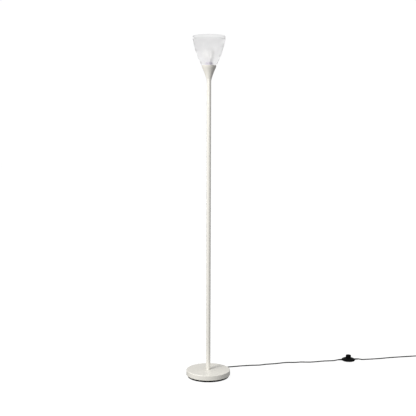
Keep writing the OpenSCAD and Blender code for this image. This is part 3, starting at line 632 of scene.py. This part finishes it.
def make_bulb():
    """The ball on its curved neck. The neck's foot stands inside the cap."""
    low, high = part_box("bulb_glass")
    radius, top = high.x, high.z
    middle = top - radius
    neck_r, neck_angle, wall = 12.2 * MM, -40, 0.8 * MM

    def side(inward):
        start = arc(0, middle, radius - inward, neck_angle, neck_angle, 1)[0]
        slope = 1 / math.tan(math.radians(neck_angle))
        knee = start[1] + (start[0] - neck_r + inward) * slope
        foot_r = neck_r - 0.7 * MM - inward
        return ([(foot_r, low.z), (foot_r, low.z + 7 * MM)]
                + bend((neck_r - inward, low.z + 9 * MM), (neck_r - inward, knee), start, 16)
                + arc(0, middle, radius - inward, neck_angle + 4, 89.5, 36))

    outline = side(0) + [(0, top)]
    inside = [(0, top - wall)] + list(reversed(side(wall)))
    return lathe("bulb_glass_visual", outline + inside, 96)


put(make_cup(), LAMP, "cream_paint", "shade_cup")
shade = put(make_shade(), LAMP, "frosted_glass", "shade")
flag_from(key, shade)
put(make_bulb(), LAMP, "opal_glass", "bulb_glass")


# ---------------------------------------------------------------- base

def make_base_cover():
    """The pressed cover: a flat top, a rounded edge and a skirt with its hem turned in."""
    low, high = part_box("base_cover")
    edge, sheet, hem = 3.6 * MM, 1.2 * MM, 3 * MM
    radius, top, bottom = high.x, high.z, low.z
    hole = 5.1 * MM
    outline = ([(radius - 2 * sheet, bottom + 0.5 * MM), (radius - 1.6 * sheet, bottom),
                (radius - 0.5 * MM, bottom), (radius, bottom + 0.5 * MM)]
               + arc(radius - edge, top - edge, edge, 0, 90, 14)
               + [(hole + 0.2 * MM, top), (hole, top - 0.2 * MM), (hole, top - sheet)]
               + arc(radius - edge, top - edge, edge - sheet, 90, 0, 8)
               + [(radius - sheet, bottom + hem), (radius - 2 * sheet, bottom + hem)])
    return lathe("base_cover_visual", outline, 192)


put(make_base_cover(), LAMP, "cream_paint", "base_cover")


# ---------------------------------------------------------------- strain reliefs

def ribbed_sleeve(name, length, root_r, tip_r, waist_r, flange_r, wall, place, ribs=6):
    """A tapered rubber sleeve with rings cut round it, along local Z from z = 0. Its waist
    passes through the wall that holds it, with a flange behind that wall."""
    bore = CORD_R + 0.05 * MM
    outline = [(bore, -wall - 2 * MM), (flange_r - 0.2 * MM, -wall - 2 * MM),
               (flange_r, -wall - 1.8 * MM), (flange_r, -wall - 0.2 * MM),
               (waist_r, -wall - 0.2 * MM), (waist_r, 0.2 * MM), (root_r - 0.3 * MM, 0.2 * MM),
               (root_r, 0.6 * MM), (root_r, 2.6 * MM)]
    start, end = 3.4 * MM, length - 2.2 * MM
    pitch = (end - start) / ribs
    for i in range(ribs):
        z = start + pitch * i
        share = z / length
        r = root_r + (tip_r - root_r) * share
        cut = r - 0.55 * (r - bore)
        outline += [(r - 0.15 * MM, z - 0.5 * MM), (cut, z), (cut, z + 0.38 * pitch),
                    (r - 0.2 * MM, z + 0.5 * pitch), (r - 0.1 * MM, z + 0.8 * pitch)]
    outline += [(tip_r, length - 1.2 * MM), (tip_r - 0.3 * MM, length), (bore, length)]
    return lathe(name, outline, 40, place=place, sharp=50)


def along(direction_angle, origin):
    """A frame whose Z axis points along the floor in a direction."""
    turn = Matrix.Rotation(direction_angle, 4, "Z") @ Matrix.Rotation(math.radians(90), 4, "Y")
    return Matrix.Translation(origin) @ turn


gland = ribbed_sleeve("cord_gland_visual", GLAND_L, 4.8 * MM, 3.7 * MM, 3.8 * MM, 4.4 * MM, 2.4 * MM,
                      along(EXIT_ANGLE, polar(TRAY_R, EXIT_ANGLE, EXIT_Z)), 8)
relief_in = ribbed_sleeve("relief_in_visual", SWITCH_RELIEF_L, 4.6 * MM, 3.6 * MM, 3.4 * MM, 3.9 * MM,
                          3.2 * MM, SWITCH_PLACE @ along(math.pi, (-SWITCH_R, 0, SWITCH_CORD_Z)))
relief_out = ribbed_sleeve("relief_out_visual", SWITCH_RELIEF_L, 4.6 * MM, 3.6 * MM, 3.4 * MM, 3.9 * MM,
                           3.2 * MM, SWITCH_PLACE @ along(0, (SWITCH_R, 0, SWITCH_CORD_Z)))
put(gland, LAMP, "black_rubber", "cord_gland")
put(relief_in, LAMP, "black_rubber", "relief_in")
put(relief_out, LAMP, "black_rubber", "relief_out")


# ---------------------------------------------------------------- foot switch

def make_switch():
    """The two half shells with a shadow line between them, and the ribbed, dished button."""
    low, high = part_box("switch_cover")
    split, dome_top = low.z - 0.1 * MM, high.z - 1 * MM
    radius = SWITCH_R
    button_r, button_top = 15 * MM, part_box("switch_button")[1].z
    floor_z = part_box("switch_base")[0].z
    wall = 2 * MM
    place = SWITCH_PLACE

    def dome(down):
        return bend((radius - 0.3 * MM - down, split + 2 * MM),
                    (radius - 8 * MM - down, dome_top - 3 * MM - down / 2),
                    (button_r + 4 * MM, dome_top - 1 * MM - down), 24)

    cover = ([(radius - wall, split + 0.35 * MM), (radius - 0.5 * MM, split + 0.35 * MM),
              (radius - 0.05 * MM, split + 0.8 * MM)] + dome(0)
             + [(button_r + 3 * MM, dome_top - 0.4 * MM), (button_r + 2.2 * MM, dome_top + 0.2 * MM)]
             + arc(button_r + 1.3 * MM, dome_top + 0.3 * MM, 0.7 * MM, 45, 170, 5)
             + [(button_r + 0.4 * MM, dome_top - 0.4 * MM), (button_r + 0.4 * MM, dome_top - 2.4 * MM)]
             + list(reversed(dome(wall))))
    base = ([(0, floor_z)] + bend((radius - 5 * MM, floor_z), (radius - 0.8 * MM, floor_z + 0.6 * MM),
                                  (radius - 0.1 * MM, split - 2 * MM), 16)
            + [(radius - 0.5 * MM, split - 0.1 * MM), (radius - wall, split - 0.1 * MM)]
            + bend((radius - wall, split - 1 * MM), (radius - 4 * MM, floor_z + 3 * MM),
                   (radius - 10 * MM, floor_z + wall), 8) + [(0, floor_z + wall)])
    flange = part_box("switch_button")[0].z
    ribs = []
    rib_count, rib_h = 7, 0.25 * MM
    for i in range(rib_count):
        r = 3.2 * MM + 1.3 * MM * i
        dish = button_top - 0.9 * MM + 0.5 * MM * (r / (9 * MM)) ** 2
        ribs += [(r - 0.35 * MM, dish), (r, dish + rib_h), (r + 0.35 * MM, dish)]
    flange_r, flange_t = button_r + 2 * MM, 1.6 * MM
    button = ([(button_r - 2 * MM, flange), (flange_r, flange), (flange_r, flange + flange_t),
               (button_r - 0.1 * MM, flange + flange_t)]
              + arc(button_r - 2.6 * MM, button_top - 2 * MM, 2 * MM, 0, 90, 10)
              + list(reversed(ribs)) + [(0, button_top - 0.9 * MM), (0, button_top - 3 * MM),
                                        (button_r - 2.6 * MM, button_top - 3 * MM)])
    put(lathe("switch_cover_visual", cover, 96, place=place), LAMP, "black_gloss", "switch_cover")
    put(lathe("switch_base_visual", base, 96, place=place), LAMP, "black_gloss", "switch_base")
    put(lathe("switch_button_visual", button, 72, place=place), BUTTON, "black_gloss", "switch_button")


# ---------------------------------------------------------------- plug and tie

def oval_ring(width, thick, corner, z, steps=8):
    """A rounded rectangle of points at a height."""
    made = []
    for quarter, (sx, sy) in enumerate(((1, 1), (-1, 1), (-1, -1), (1, -1))):
        for i in range(steps + 1):
            a = math.radians(90 * quarter + 90 * i / steps)
            made.append(Vector((sx * (width / 2 - corner) + corner * math.cos(a),
                                sy * (thick / 2 - corner) + corner * math.sin(a), z)))
    return made


def loft(rings, place):
    """A closed skin through rings that have the same number of points."""
    n = len(rings[0])
    verts = [place @ p for ring in rings for p in ring]
    faces = [tuple(reversed(range(n)))]
    for r in range(len(rings) - 1):
        for k in range(n):
            faces.append((r * n + k, r * n + (k + 1) % n, (r + 1) * n + (k + 1) % n, (r + 1) * n + k))
    faces.append(tuple((len(rings) - 1) * n + k for k in range(n)))
    return verts, faces


def make_plug():
    """The flat two-pin plug: a tapered body with finger grooves across its narrow end,
    insulated sleeves, and pins with rounded tips."""
    width, thick, pitch = 35 * MM, 2 * PLUG_Z, 19 * MM
    back_w, back_t, belly_z, squareness = 17 * MM, 12 * MM, 13 * MM, 0.9 * MM
    pin_r, sleeve_r, sleeve_l, pin_l = 2 * MM, 1.8 * MM, 10 * MM, 19 * MM
    place = (Matrix.Translation((PLUG_X, PLUG_BACK_Y - PLUG_L, PLUG_Z))
             @ Matrix.Rotation(math.radians(-90), 4, "X"))
    sizes = [(width - 1.6 * MM, thick - 1.6 * MM, 0), (width - 0.6 * MM, thick - 0.6 * MM, 0.3 * MM),
             (width, thick, 1.4 * MM), (width, thick, belly_z)]
    rings = [oval_ring(w, t, t / 2 - squareness, z) for w, t, z in sizes]
    grooves, start, end = 5, 16 * MM, PLUG_L - 3 * MM
    for i in range(grooves * 4):
        z = start + (end - start) * i / (grooves * 4 - 1)
        share = (z - belly_z) / (PLUG_L - belly_z)
        dip = 0.9 * MM if i % 4 in (1, 2) else 0
        w, t = width + (back_w - width) * share - dip, thick + (back_t - thick) * share - dip
        rings.append(oval_ring(w, t, t / 2 - squareness, z))
    rings.append(oval_ring(back_w, back_t - 0.2 * MM, 5 * MM, PLUG_L - 0.8 * MM))
    rings.append(oval_ring(15.6 * MM, 10.4 * MM, 4.4 * MM, PLUG_L))
    parts = [loft(rings, place)]
    pins = []
    for side in (-1, 1):
        stand = place @ Matrix.Translation((side * pitch / 2, 0, 0)) @ Matrix.Rotation(math.pi, 4, "X")
        sleeve = [(pin_r - 0.5 * MM, -1 * MM), (sleeve_r, -1 * MM), (sleeve_r, sleeve_l - 0.3 * MM),
                  (sleeve_r - 0.2 * MM, sleeve_l), (pin_r - 0.5 * MM, sleeve_l)]
        parts.append(turned(sleeve, 32, True, stand))
        pin = ([(0, sleeve_l - 0.5 * MM), (sleeve_r - 0.3 * MM, sleeve_l - 0.5 * MM),
                (sleeve_r - 0.3 * MM, sleeve_l + 0.05 * MM), (pin_r - 0.1 * MM, sleeve_l + 0.05 * MM),
                (pin_r, sleeve_l + 0.2 * MM)]
               + arc(pin_r - 1.3 * MM, pin_l - 1.3 * MM, 1.3 * MM, 0, 88, 8) + [(0, pin_l)])
        pins.append(turned(pin, 32, False, stand))
    body = put(joined("plug_body_visual", parts), LAMP, "black_gloss", "plug_body")
    metal = put(joined("plug_pins_visual", pins), LAMP, "nickel", "plug_pins")
    relief = ribbed_sleeve("plug_relief_visual", PLUG_RELIEF_L, 5.4 * MM, 3.5 * MM, 4.1 * MM, 4.1 * MM,
                           0.8 * MM, Matrix.Translation((PLUG_X, PLUG_BACK_Y, PLUG_Z))
                           @ Matrix.Rotation(math.radians(-90), 4, "X"), 7)
    put(relief, LAMP, "black_rubber", "plug_relief")
    return body, metal, relief


def make_tie():
    """A hook-and-loop strap round the turns, with its end lapped over and standing off a little."""
    angle = math.radians(215)
    width, thick, lift, per_round = 10 * MM, 0.8 * MM, 1.1 * MM, 48
    place = (Matrix.Translation(COIL + polar(COIL_R, angle, (COIL_LOW_Z + COIL_HIGH_Z) / 2))
             @ Matrix.Rotation(angle, 4, "Z") @ Matrix.Rotation(math.radians(90), 4, "X"))
    half = 2 * CORD_R + 0.35 * MM
    path = []
    for lapped, share in ((False, 1.0), (True, 0.30)):
        for i in range(int(per_round * share) + 1):
            a = 2 * math.pi * i / per_round + math.radians(-60)
            grow = half + lift * min(1, i / 8) if lapped else half
            x, y = math.cos(a), math.sin(a)
            square = (abs(x) ** 5 + abs(y) ** 5) ** -0.2
            path.append(Vector((x * square * grow, y * square * grow * 0.96, 0)))
    verts, faces = [], []
    for i, p in enumerate(path):
        out = Vector((p.x, p.y, 0)).normalized()
        for r, z in ((0, -width / 2), (thick, -width / 2 + 0.2 * MM), (thick, width / 2 - 0.2 * MM),
                     (0, width / 2)):
            verts.append(place @ (p + out * r + Vector((0, 0, z))))
        if i:
            for k in range(4):
                a, b = (i - 1) * 4 + k, (i - 1) * 4 + (k + 1) % 4
                faces.append((a, b, b + 4, a + 4))
    last = (len(path) - 1) * 4
    faces += [(3, 2, 1, 0), (last, last + 1, last + 2, last + 3)]
    return put(object_from("cord_tie_visual", verts, faces), LAMP, "tie_fabric", "cord_tie")


make_switch()
plug_body, plug_pins, plug_relief = make_plug()
tie = make_tie()


# ---------------------------------------------------------------- CAD parts that stay

for node_name, node in frame["nodes"].items():
    if not node.hide_render:
        slot = next(s["material_slot"] for s in frame["record"]["subparts"] if s["node"] == node_name)
        node.data.materials.clear()
        node.data.materials.append(MATERIALS[slot])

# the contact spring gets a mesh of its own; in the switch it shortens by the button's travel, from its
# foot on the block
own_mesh(frame["nodes"]["switch_spring"])
